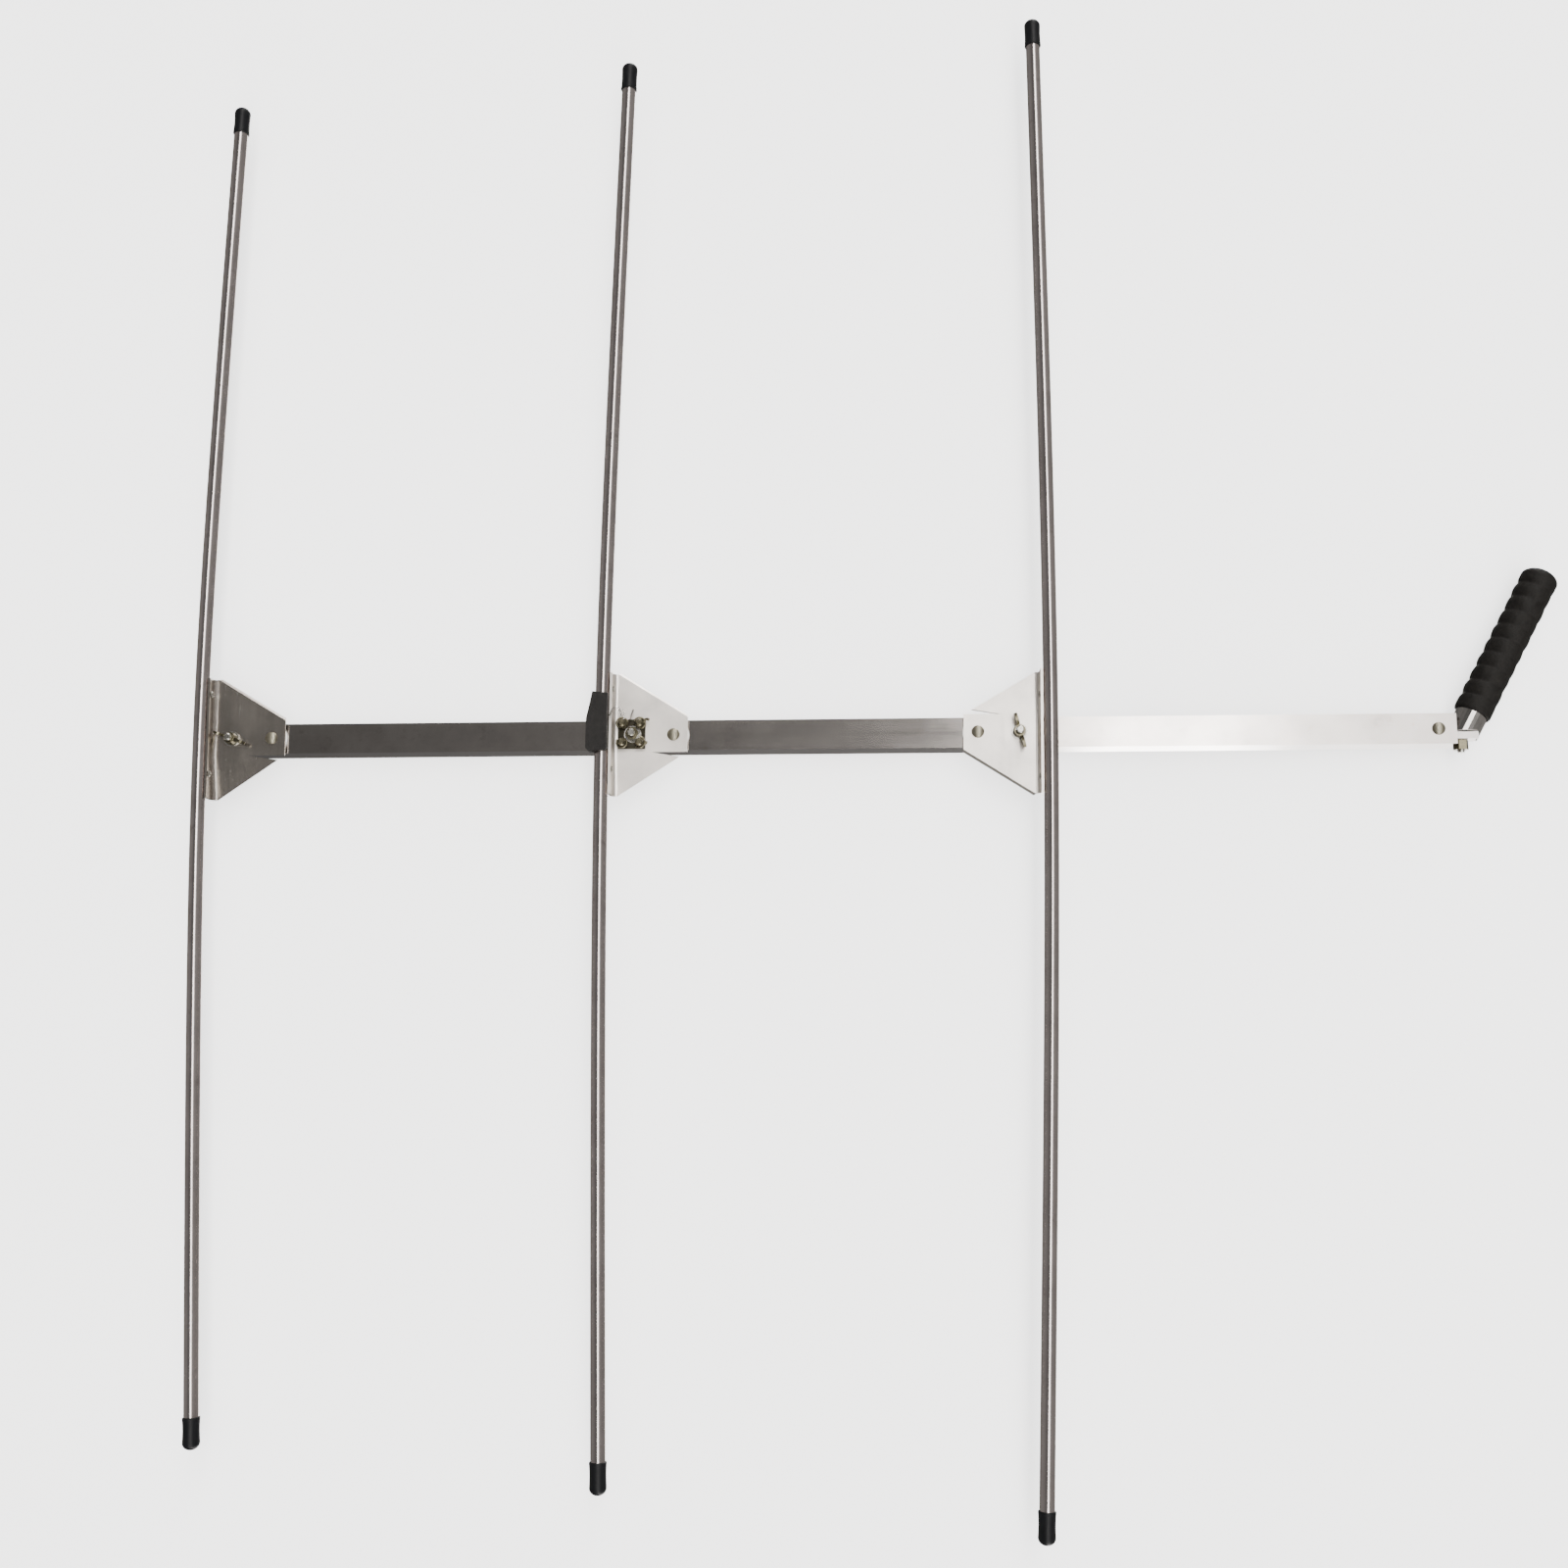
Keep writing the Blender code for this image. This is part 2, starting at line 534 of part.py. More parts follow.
def make_handle():
    """Tongue riveted in the boom's end, and the leaning handle tube, grip, bolt and nut on it."""
    origin = bpy.data.objects.new("handle_foot", None)
    bpy.context.scene.collection.objects.link(origin)
    origin.location = (BOOM_END + REST_SHIFT_X, REST_SHIFT_Y, BOOM_MID_Z)

    half = TONGUE_THICKNESS / 2
    wide = TONGUE_WIDTH / 2
    tongue = box((-TONGUE_INSIDE, TONGUE_Y - half, -wide), (TONGUE_OUTSIDE, TONGUE_Y + half, wide))
    tongue_object = finish_mesh("handle_tongue", tongue, ALUMINIUM, 1.0, 0.35)
    place(tongue_object, origin)
    rivet_x = HANDLE_RIVET_X - BOOM_END
    notch = prism(circle(RIVET_SHANK + GAP, 16, (rivet_x, 0)), -0.02, 0.02)
    cut(tongue_object, notch, origin, "tongue_rivet_hole")

    bm = bmesh.new()
    rings = []
    for height in (HANDLE_FOOT, HANDLE_REACH):
        pair = []
        for radius in (HANDLE_RADIUS, HANDLE_RADIUS - HANDLE_WALL):
            pair.append([bm.verts.new((x, y, height)) for x, y in circle(radius, HANDLE_SIDES)])
        rings.append(pair)
    for k in range(HANDLE_SIDES):
        after = (k + 1) % HANDLE_SIDES
        for ring_a, ring_b in zip(*rings):
            bm.faces.new((ring_a[k], ring_a[after], ring_b[after], ring_b[k]))
        for out_ring, in_ring in rings:
            bm.faces.new((out_ring[k], out_ring[after], in_ring[after], in_ring[k]))
    stand = Matrix.Rotation(-HANDLE_LEAN, 4, 'Z') @ Matrix.Rotation(-pi / 2, 4, 'X')
    bmesh.ops.transform(bm, verts=bm.verts, matrix=Matrix.Translation((HANDLE_X, HANDLE_Y, 0)) @ stand)
    tube = finish_mesh("handle_tube", bm, ALUMINIUM, 1.0, 0.28)
    place(tube, origin)
    far = 0.05
    tongue_top = TONGUE_Y + half + GAP
    foot_y = TONGUE_Y - half - FOOT_BELOW_TONGUE
    cut(tube, box((-far, -far, -far), (MITRE_CLEARANCE, far, far)), origin, "handle_mitre")
    cut(tube, box((-far, -far, -far), (far, foot_y, far)), origin, "handle_foot_cut")
    slot = box((-far, -far, -wide - GAP), (TONGUE_OUTSIDE + GAP, tongue_top, wide + GAP))
    cut(tube, slot, origin, "handle_slot")
    corner = box((-far, -far, -far), (TONGUE_OUTSIDE, tongue_top, far))
    cut(tube, corner, origin, "handle_corner")

    make_grip(origin, stand)

    nut_top = TONGUE_Y - half - GAP
    nut = prism(circle(HANDLE_NUT_RADIUS, 6), 0, HANDLE_NUT_HEIGHT)
    bmesh.ops.rotate(nut, verts=nut.verts, matrix=Matrix.Rotation(pi / 2, 3, 'X'))
    nut_object = finish_mesh("handle_nut", nut, DARK_METAL, 1.0, 0.4)
    place(nut_object, origin, (HANDLE_NUT_X, nut_top, 0))
    shank = HANDLE_BOLT_SHANK
    bolt_low = nut_top - HANDLE_BOLT_BELOW
    seat = tongue_top - bolt_low
    profile = [(0, 0), (shank, 0), (shank, seat), (HANDLE_BOLT_HEAD, seat),
               (HANDLE_BOLT_HEAD, seat + 3 * BEVEL), (0, seat + 4 * BEVEL)]
    bolt = finish_mesh("handle_bolt", turned(profile, 14), STEEL, 1.0, 0.35)
    place(bolt, origin, (HANDLE_NUT_X, bolt_low, 0), (-pi / 2, 0, 0))
    for target, label in ((nut_object, "nut"), (tongue_object, "tongue")):
        hole = prism(circle(shank + GAP, 14), -2 * OVERCUT, 10 * OVERCUT)
        bmesh.ops.rotate(hole, verts=hole.verts, matrix=Matrix.Rotation(pi / 2, 3, 'X'))
        cut(target, hole, origin, f"{label}_bolt_hole").location = (HANDLE_NUT_X, TONGUE_Y, 0)


def make_grip(origin, stand):
    """Moulded grip: a closed cup over the tube with shallow rings and a rounded end."""
    seat = HANDLE_RADIUS + GAP / 2
    tube_end = HANDLE_REACH + GAP
    shoulder = GRIP_MOUTH + GRIP_LENGTH - GRIP_SHOULDER
    profile = [(0, tube_end), (seat, tube_end), (seat, GRIP_MOUTH), (GRIP_RADIUS - GRIP_GROOVE, GRIP_MOUTH),
               (GRIP_RADIUS, GRIP_MOUTH + BEVEL)]
    rings = int((GRIP_LENGTH - GRIP_COLLAR - GRIP_SHOULDER) / GRIP_RIB)
    for k in range(rings):
        start = GRIP_MOUTH + GRIP_COLLAR + k * GRIP_RIB
        profile += [(GRIP_RADIUS, start), (GRIP_RADIUS - GRIP_GROOVE, start + GRIP_RIB * 0.35),
                    (GRIP_RADIUS, start + GRIP_RIB * 0.7)]
    profile += dome(GRIP_RADIUS, shoulder, GRIP_SHOULDER, steps=5)
    bm = turned(profile, 24)
    bmesh.ops.transform(bm, verts=bm.verts, matrix=Matrix.Translation((HANDLE_X, HANDLE_Y, 0)) @ stand)
    grip = finish_mesh("handle_grip", bm, BLACK, 0.0, 0.6)
    place(grip, origin)


def make_feed(hinge):
    """Feed point of the driven element: insulating block, terminal strip, terminals and wires."""
    back = TUBE_X - BLOCK_BACK
    front = TUBE_X + BLOCK_FRONT
    outline = [(back, -0.011), (back + 0.002, -0.013), (front - 0.001, -0.012), (front, -0.011),
               (front, 0.026), (TUBE_X - 0.0058, 0.027), (TUBE_X - 0.0075, 0.018), (back, 0.009)]
    body = prism(outline, TUBE_Z - BLOCK_SINK, TUBE_Z + BLOCK_RISE)
    block = finish_mesh("feed_block", body, BLACK, 0.0, 0.45)
    place(block, hinge)
    cut(block, pipe_cutter(), hinge, "feed_block_bore")

    strip_z = SHEET_FRONT_Z + GAP
    strip_top = strip_z + STRIP_THICKNESS
    strip = box((PLATE_X + 0.0010, -STRIP_HALF, strip_z), (STRIP_EDGE_X, STRIP_HALF, strip_top))
    strip_object = finish_mesh("feed_strip", strip, DARK_METAL, 0.6, 0.5)
    place(strip_object, hinge)
    around_washer = circle(WASHER_RADIUS + BEVEL, 20, (-LOCK_REACH, 0))
    cut(strip_object, prism(around_washer, strip_z - OVERCUT, strip_top + OVERCUT), hinge, "feed_strip_hole")

    seat = strip_top + GAP
    neck = TERMINAL_RADIUS * 0.62
    collar = TERMINAL_RADIUS * 0.9
    corners = {"a": (TERMINAL_OUTER_X, TERMINAL_Y), "b": (TERMINAL_OUTER_X, -TERMINAL_Y),
               "c": (TERMINAL_INNER_X, TERMINAL_Y), "d": (TERMINAL_INNER_X, -TERMINAL_Y)}
    for label, (x, y) in corners.items():
        profile = [(0, 0), (TERMINAL_RADIUS, 0), (TERMINAL_RADIUS, 0.0022), (neck, 0.0022), (neck, 0.0052),
                   (collar, 0.0058), (collar, 0.0072), (neck, TERMINAL_HEIGHT), (0, TERMINAL_HEIGHT)]
        screw = finish_mesh(f"feed_terminal_{label}", turned(profile, 12), DARK_METAL, 1.0, 0.35)
        place(screw, hinge, (x, y, seat))
    arch = [Vector((TUBE_X + 0.0058 + 0.0082 * k / 8, 0.0108 + 0.0065 * sin(pi * k / 8),
                    TUBE_Z + 0.0058 - 0.002 * k / 8)) for k in range(9)]
    make_wire("feed_wire_loop", arch, hinge)
    riser = [Vector((-0.0283 + 0.0004 * k, 0.0088 + 0.0014 * k, seat + 0.0045 - 0.0004 * k))
             for k in range(6)]
    make_wire("feed_wire_short", riser, hinge)


def pipe_cutter():
    """Straight bore for the tube, with clearance, through the feed block."""
    bm = prism(circle(TUBE_RADIUS + GAP / 2, TUBE_SIDES), -0.05, 0.05)
    bmesh.ops.rotate(bm, verts=bm.verts, matrix=Matrix.Rotation(pi / 2, 3, 'X'))
    bmesh.ops.translate(bm, verts=bm.verts, vec=(TUBE_X, 0, TUBE_Z))
    return bm


def make_wire(name, points, parent):
    """Round wire along a smooth row of points."""
    curve = bpy.data.curves.new(name, 'CURVE')
    curve.dimensions = '3D'
    curve.bevel_depth = WIRE_RADIUS
    curve.bevel_resolution = 2
    curve.use_fill_caps = True
    spline = curve.splines.new('POLY')
    spline.points.add(len(points) - 1)
    for slot, point in zip(spline.points, points):
        slot.co = (*point, 1)
    wire = bpy.data.objects.new(name, curve)
    bpy.context.scene.collection.objects.link(wire)
    material = bpy.data.materials.new(name + "_material")
    material.use_nodes = True
    shader = material.node_tree.nodes["Principled BSDF"]
    shader.inputs["Base Color"].default_value = (*STEEL, 1.0)
    shader.inputs["Metallic"].default_value = 1.0
    shader.inputs["Roughness"].default_value = 0.25
    curve.materials.append(material)
    place(wire, parent)


clear_scene()
director_pivot = ARM
driven_pivot = DRIVEN_SPACING + ARM
reflector_pivot = DRIVEN_SPACING + REFLECTOR_SPACING - ARM
make_boom({"director": (director_pivot, 1), "driven": (driven_pivot, 1),
           "reflector": (reflector_pivot, -1)})
make_element("director", director_pivot, DIRECTOR_TURN, DIRECTOR_HALF, DIRECTOR_BOW, True)
driven_hinge = make_element("driven", driven_pivot, DRIVEN_TURN, DRIVEN_HALF, DRIVEN_BOW, False)
make_element("reflector", reflector_pivot, REFLECTOR_TURN, REFLECTOR_HALF, REFLECTOR_BOW, True)
make_feed(driven_hinge)
make_rivet("director_pivot_rivet", director_pivot)
make_rivet("driven_pivot_rivet", driven_pivot)
make_rivet("reflector_pivot_rivet", reflector_pivot)
make_rivet("handle_rivet", HANDLE_RIVET_X, front=BOOM_FRONT_Z)
make_handle()
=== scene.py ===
import json
from math import cos, hypot, pi, radians, sin

import bmesh
import bpy
from mathutils import Matrix, Vector, noise


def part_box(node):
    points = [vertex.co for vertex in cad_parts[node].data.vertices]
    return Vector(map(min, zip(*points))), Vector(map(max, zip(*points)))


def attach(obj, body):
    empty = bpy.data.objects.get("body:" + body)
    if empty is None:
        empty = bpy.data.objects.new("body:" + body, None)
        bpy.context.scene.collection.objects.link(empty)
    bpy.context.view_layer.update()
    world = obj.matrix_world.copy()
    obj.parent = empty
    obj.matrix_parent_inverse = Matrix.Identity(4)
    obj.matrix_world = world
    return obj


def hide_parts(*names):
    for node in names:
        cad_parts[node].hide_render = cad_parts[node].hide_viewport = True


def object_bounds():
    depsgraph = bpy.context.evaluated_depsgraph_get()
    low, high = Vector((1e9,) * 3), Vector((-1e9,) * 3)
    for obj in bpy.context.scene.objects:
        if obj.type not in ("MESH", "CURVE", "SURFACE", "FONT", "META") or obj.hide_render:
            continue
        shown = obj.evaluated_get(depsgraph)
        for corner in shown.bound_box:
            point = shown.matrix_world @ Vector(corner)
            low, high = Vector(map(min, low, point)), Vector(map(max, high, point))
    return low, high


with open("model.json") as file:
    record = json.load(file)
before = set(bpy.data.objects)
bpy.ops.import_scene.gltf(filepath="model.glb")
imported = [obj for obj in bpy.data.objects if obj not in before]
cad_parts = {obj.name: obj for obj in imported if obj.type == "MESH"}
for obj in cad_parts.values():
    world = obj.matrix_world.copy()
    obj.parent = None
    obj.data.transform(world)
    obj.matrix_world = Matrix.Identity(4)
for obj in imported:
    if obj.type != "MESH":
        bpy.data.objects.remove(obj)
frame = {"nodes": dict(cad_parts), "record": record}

CAD_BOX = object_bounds()
NODES = frame["nodes"]
ELEMENTS = ("director", "driven", "reflector")
UP = Vector((0, 0, 1))

# All lengths are in metres. Edges sharper than these angles, in degrees, aren't smoothed.
CAD_SHARP = 32
PIECE_SHARP = 35
MOULDED_SHARP = 60
MERGE_DISTANCE = 1e-7
ON_AXIS = 1e-9

# Element tubes. Their middle line is read back from the rings of points along the CAD tube.
TUBE_RADIUS = 0.00475
TUBE_WALL = 0.001
TUBE_SIDES = 40
TUBE_STEPS = 60
BEND_SOFTNESS = 0.4
RING_BIN = 0.012
WHOLE_RING = 1.9 * TUBE_RADIUS
RING_LEAN = 0.98

# Soft end caps. The mouth is a row of insets from the full radius, each with its height.
CAP_RADIUS = 0.0056
CAP_LENGTH = 0.020
CAP_DOME = 0.0045
CAP_CLEARANCE = 0.0002
CAP_END_WALL = 0.002
CAP_MOUTH = ((0.0005, 0.0), (0.0001, 0.0003), (0.0, 0.0008))
CAP_BODY_FOOT = 0.001
CAP_BODY_INSET = 0.0001
CAP_WAIST = 0.00025
CAP_BODY_ROWS = 6
CAP_DOME_ROWS = 8
CAP_SIDES = 36

# Grip on the leaning handle. The handle's foot is measured from the middle of the boom's end.
HANDLE_LEAN = radians(28.5)
HANDLE_FOOT = Vector((0.0051, -0.0035, 0))
GRIP_START = 0.0165
GRIP_LENGTH = 0.108
GRIP_RADIUS = 0.0122
GRIP_BORE_DEPTH = 0.0837
GRIP_BORE_RADIUS = 0.0106
GRIP_SHOULDER = 0.007
GRIP_SKIN_INSET = 0.00035
GRIP_MOUTH_INSET = 0.0009
GRIP_LIP = 0.0015
GRIP_LIP_INSET = 0.0005
GRIP_SIDES = 96
GRIP_ROWS = 150

# Rings and lumps pressed into the grip's skin. The rings are shallower on its front and fade at both ends.
GROOVE_PITCH = 0.0105
GROOVE_DEPTH = 0.0012
GROOVE_FRONT_SHARE = 0.45
GROOVE_ROUNDNESS = 0.7
GROOVE_START = 0.006
GROOVE_END = 0.010
GROOVE_FADE = 0.004
LUMP_DEPTH = 0.00030
LUMP_SCALE = (260, 260, 150)
SKIN_LEAST_RADIUS = 0.0109
TIP_MARGIN = 0.0005

# Feed cluster. Each terminal has a washer with this many sides and a lug that starts at this angle.
TERMINALS = {"a": (6, 0.2), "b": (24, 2.6), "c": (24, 5.2), "d": (6, 4.0)}
WASHER_PROFILE = ((0, 0), (0.0034, 0), (0.0036, 0.0002), (0.0034, 0.0005), (0, 0.0005))
WASHER_HEIGHT = 0.0026
LUG_REACH = 0.0036
LUG_HEIGHT = 0.0046
LUG_TURN = 0.3
LUG_RISE = 0.00012
LUG_POINTS = 14
LUG_WIRE = 0.0006
WIRE_SIDES = 12
HOOK_HEIGHT = 0.0036
HOOK_WIRE = 0.0009
HOOK_POINTS = 10
UPPER_HOOK_START = 0.002
UPPER_HOOK_RUN = (0.0040, 0.0022, 0.0008)
UPPER_HOOK_ARCH = 0.0016
LOWER_HOOK_START = (0.0012, -0.0014)
LOWER_HOOK_RUN = (0.0032, 0.0022)
RISER_DEPTH = 0.0008
RISER_START = (0.0016, -0.0008)
RISER_RUN = (-0.0004, 0.0068, -0.0004)
RISER_WIRE = 0.0005
RISER_POINTS = 9

# Studio floor and soft lights, each with its place, its size and its power.
FLOOR_SIZE = 9.0
FLOOR_DROP = 0.0002
FLOOR_GLOW = 1.8
SOFT_LIGHTS = {"soft_top": ((0.1, 0.2, 2.6), (3.0, 3.0), 60.0),
               "soft_south": ((0.1, -2.4, 1.2), (2.6, 1.0), 10.0)}
LIGHT_TARGET = Vector((0.0, 0.0, 0.0))

# Camera: where it stands, how it is turned and how wide it sees.
CAMERA_PLACE = Vector((0.0170, -0.2023, 1.120))
CAMERA_TURN = (0.15314, 0.06487, 0.00274)
CAMERA_ANGLE = radians(49.77)

# Brightness of the surroundings by direction, from -1 (director's side) to 1 (handle's side).
SKY_EDGE = (0.024, 0.023, 0.022)
SKY_LEVELS = ((-0.60, 0.018), (-0.40, 0.009), (-0.25, 0.0125), (-0.10, 0.016), (0.055, 0.018), (0.09, 0.22),
              (0.12, 1.0), (0.19, 1.0), (0.225, 0.36), (0.32, 0.30), (0.45, 0.03))
SKY_TINT = (1.0, 0.975, 0.95)
SKY_STRENGTH = 13.0


# ---------------------------------------------------------------- materials

# Stretch of the drawn lines in a metal, by the axis that they run along.
GRAIN_STRETCH = {"X": (3, 260, 260), "Y": (260, 3, 260), "Z": (260, 260, 3)}


class Nodes:
    """Short forms for building a material's node tree."""

    def __init__(self, name):
        self.material = bpy.data.materials.new(name)
        self.material.use_nodes = True
        self.tree = self.material.node_tree
        self.shader = self.tree.nodes["Principled BSDF"]
        self.place = self.add("ShaderNodeTexCoord").outputs["Object"]

    def add(self, kind, **inputs):
        node = self.tree.nodes.new(kind)
        for key, value in inputs.items():
            socket = node.inputs[key.replace("_", " ")]
            if isinstance(value, bpy.types.NodeSocket):
                self.tree.links.new(value, socket)
            else:
                socket.default_value = value
        return node

    def link(self, source, target):
        self.tree.links.new(source, target)

    def noise(self, scale, detail, stretch=(1, 1, 1), roughness=0.55):
        place = self.add("ShaderNodeMapping", Vector=self.place, Scale=stretch).outputs["Vector"]
        node = self.add("ShaderNodeTexNoise", Vector=place, Scale=scale, Detail=detail, Roughness=roughness)
        return node.outputs["Fac"]

    def ramp(self, value, stops):
        node = self.add("ShaderNodeValToRGB", Fac=value)
        elements = node.color_ramp.elements
        for element, (position, colour) in zip(elements, (stops[0], stops[-1])):
            element.position = position
            element.color = (*colour, 1.0)
        for position, colour in stops[1:-1]:
            elements.new(position).color = (*colour, 1.0)
        return node.outputs["Color"]

    def spread(self, value, low, high):
        return self.add("ShaderNodeMapRange", Value=value, To_Min=low, To_Max=high).outputs["Result"]

    def bump(self, height, strength, distance):
        bump = self.add("ShaderNodeBump", Height=height, Strength=strength, Distance=distance)
        self.link(bump.outputs["Normal"], self.shader.inputs["Normal"])

    def put(self, name, value):
        """Drive a shader input with a socket, or set it to a value."""
        if isinstance(value, bpy.types.NodeSocket):
            self.link(value, self.shader.inputs[name])
        else:
            self.shader.inputs[name].default_value = value


def shade(colour, factor):
    """A lighter or darker copy of a colour."""
    return tuple(min(1.0, channel * factor) for channel in colour)


def metal(name, colour, rough, grain_axis, grain, tarnish, tarnish_colour=(0.16, 0.14, 0.11)):
    """Drawn or rolled metal: long fine lines, soft mottling and darker smudges."""
    n = Nodes(name)
    lines = n.noise(scale=6.0, detail=6.0, stretch=GRAIN_STRETCH[grain_axis])
    cloud = n.noise(scale=38.0, detail=5.0)
    smudge = n.noise(scale=95.0, detail=8.0, roughness=0.7)
    tone = n.ramp(cloud, [(0.30, shade(colour, 0.86)), (0.52, colour), (0.74, shade(colour, 1.10))])
    mask = n.ramp(smudge, [(0.56, (0, 0, 0)), (0.72, (tarnish,) * 3)])
    mix = n.add("ShaderNodeMix")
    mix.data_type = 'RGBA'
    n.link(mask, mix.inputs["Factor"])
    n.link(tone, mix.inputs["A"])
    mix.inputs["B"].default_value = (*tarnish_colour, 1.0)
    n.put("Base Color", mix.outputs["Result"])
    n.put("Metallic", 1.0)
    n.put("Roughness", n.spread(lines, low=rough * 0.75, high=rough * 1.3))
    n.put("Anisotropic", 0.25)
    n.bump(lines, strength=grain * 0.25, distance=0.00006)
    return n.material


def rubber(name, colour, rough, lump_scale, lump, dust):
    """Moulded rubber: fine pebbled skin, uneven sheen and a little pale dust on the lumps."""
    n = Nodes(name)
    skin = n.noise(scale=lump_scale * 6, detail=3.0)
    lumps = n.noise(scale=lump_scale, detail=5.0)
    n.put("Base Color", n.ramp(lumps, [(0.34, colour), (0.62, shade(colour, 1.0 + dust)),
                                        (0.85, shade(colour, 1.0 + 3 * dust))]))
    n.put("Roughness", n.spread(lumps, low=rough - 0.1, high=rough + 0.12))
    n.put("Specular IOR Level", 0.22)
    height = n.add("ShaderNodeMath", Value=skin)
    height.operation = 'ADD'
    n.link(lumps, height.inputs[1])
    n.bump(height.outputs["Value"], strength=lump, distance=0.00025)
    return n.material


def milky(name, colour):
    """Nylon: pale, slightly translucent plastic with a waxy sheen."""
    n = Nodes(name)
    cloud = n.noise(scale=120.0, detail=4.0)
    n.put("Base Color", n.ramp(cloud, [(0.3, shade(colour, 0.9)), (0.7, colour)]))
    n.put("Subsurface Weight", 0.2)
    n.put("Subsurface Radius", (0.002, 0.002, 0.002))
    n.put("Roughness", n.spread(cloud, low=0.35, high=0.5))
    n.bump(cloud, strength=0.2, distance=0.0001)
    return n.material


def floor_material():
    """Pale matt studio floor with a barely visible grain and a soft glow of its own."""
    n = Nodes("studio_floor")
    grain = n.noise(scale=3.0, detail=5.0)
    n.put("Base Color", n.ramp(grain, [(0.3, (0.90, 0.90, 0.90)), (0.7, (0.93, 0.93, 0.93))]))
    n.put("Roughness", 0.9)
    n.put("Specular IOR Level", 0.1)
    n.put("Emission Color", (1.0, 1.0, 1.0, 1.0))
    n.put("Emission Strength", FLOOR_GLOW)
    return n.material


LOOKS = {
    "boom_aluminium": (metal, dict(colour=(0.54, 0.505, 0.48), rough=0.12, grain_axis="X", grain=0.12,
                                   tarnish=0.2)),
    "element_aluminium": (metal, dict(colour=(0.55, 0.50, 0.49), rough=0.17, grain_axis="Y", grain=0.4,
                                      tarnish=0.3, tarnish_colour=(0.20, 0.16, 0.15))),
    "bracket_aluminium": (metal, dict(colour=(0.90, 0.855, 0.80), rough=0.42, grain_axis="Y", grain=0.2,
                                      tarnish=0.1)),
    # Same aluminium as the other brackets, smoother, with its colour darkened as painted shade for the
    # director's bracket.
    "bracket_smooth": (metal, dict(colour=(0.54, 0.50, 0.455), rough=0.24, grain_axis="Y", grain=0.15,
                                   tarnish=0.1)),
    "handle_aluminium": (metal, dict(colour=(0.50, 0.48, 0.46), rough=0.18, grain_axis="Y", grain=0.5,
                                     tarnish=0.3)),
    "black_rubber": (rubber, dict(colour=(0.003, 0.0033, 0.004), rough=0.45, lump_scale=180.0, lump=0.35,
                                  dust=0.2)),
    "grip_rubber": (rubber, dict(colour=(0.0038, 0.0033, 0.0027), rough=0.62, lump_scale=240.0, lump=0.9,
                                 dust=0.6)),
    "black_plastic": (rubber, dict(colour=(0.007, 0.0065, 0.006), rough=0.48, lump_scale=300.0, lump=0.6,
                                   dust=0.4)),
    "nylon": (milky, dict(colour=(0.86, 0.85, 0.82))),
    "tinned_wire": (metal, dict(colour=(0.82, 0.80, 0.76), rough=0.18, grain_axis="X", grain=0.2,
                                tarnish=0.15)),
    "rivet_metal": (metal, dict(colour=(0.33, 0.31, 0.24), rough=0.40, grain_axis="Z", grain=0.3,
                                tarnish=0.4)),
    "aged_metal": (metal, dict(colour=(0.17, 0.155, 0.105), rough=0.28, grain_axis="Z", grain=0.5,
                               tarnish=0.6, tarnish_colour=(0.05, 0.045, 0.03))),
    "strip_dark": (metal, dict(colour=(0.055, 0.050, 0.036), rough=0.34, grain_axis="Z", grain=0.8,
                               tarnish=0.7, tarnish_colour=(0.02, 0.018, 0.012))),
    "plated_steel": (metal, dict(colour=(0.50, 0.49, 0.45), rough=0.26, grain_axis="Z", grain=0.4,
                                 tarnish=0.4)),
}
MATERIALS = {name: recipe(name, **finish) for name, (recipe, finish) in LOOKS.items()}

# CAD nodes with a look other than that of their slot. The director's bracket gets a smoother copy of the
# bracket aluminium, darkened as painted shade.
OWN_LOOKS = {"director_bracket": "bracket_smooth", "feed_strip": "strip_dark"}


def dress_cad_nodes():
    """Give every CAD node its own look or that of its slot, and smooth shading on its round parts."""
    for row in frame["record"]["subparts"]:
        obj = NODES[row["node"]]
        obj.data.materials.clear()
        obj.data.materials.append(MATERIALS[OWN_LOOKS.get(row["node"], row["material_slot"])])
        obj.data.shade_smooth()
        obj.data.set_sharp_from_angle(angle=radians(CAD_SHARP))


# ---------------------------------------------------------------- mesh helpers

def new_piece(name, bm, body, slot, sharp=PIECE_SHARP):
    """Turn a bmesh into a smooth piece that rides on a body."""
    bmesh.ops.remove_doubles(bm, verts=bm.verts, dist=MERGE_DISTANCE)
    bmesh.ops.recalc_face_normals(bm, faces=bm.faces)
    mesh = bpy.data.meshes.new(name)
    bm.to_mesh(mesh)
    bm.free()
    mesh.shade_smooth()
    mesh.set_sharp_from_angle(angle=radians(sharp))
    mesh.materials.append(MATERIALS[slot])
    obj = bpy.data.objects.new(name, mesh)
    bpy.context.scene.collection.objects.link(obj)
    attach(obj, body)
    return obj


def shares(steps):
    """Even steps from 0 to 1, both ends included."""
    return [k / steps for k in range(steps + 1)]


def turned(profile, sides):
    """Solid of revolution about Z, from (radius, height) points that start and end on the axis."""
    bm = bmesh.new()
    turns = [2 * pi * k / sides for k in range(sides)]
    rings = []
    for radius, height in profile:
        if radius < ON_AXIS:
            rings.append([bm.verts.new((0, 0, height))])
        else:
            rings.append([bm.verts.new((radius * cos(turn), radius * sin(turn), height)) for turn in turns])
    for low, high in zip(rings, rings[1:]):
        for k in range(sides):
            after = (k + 1) % sides
            corners = [low[k % len(low)], low[after % len(low)], high[after % len(high)], high[k % len(high)]]
            bm.faces.new(list(dict.fromkeys(corners)))
    return bm


def direction(points, index):
    """Direction of a row of points at one of them."""
    return (points[min(index + 1, len(points) - 1)] - points[max(index - 1, 0)]).normalized()


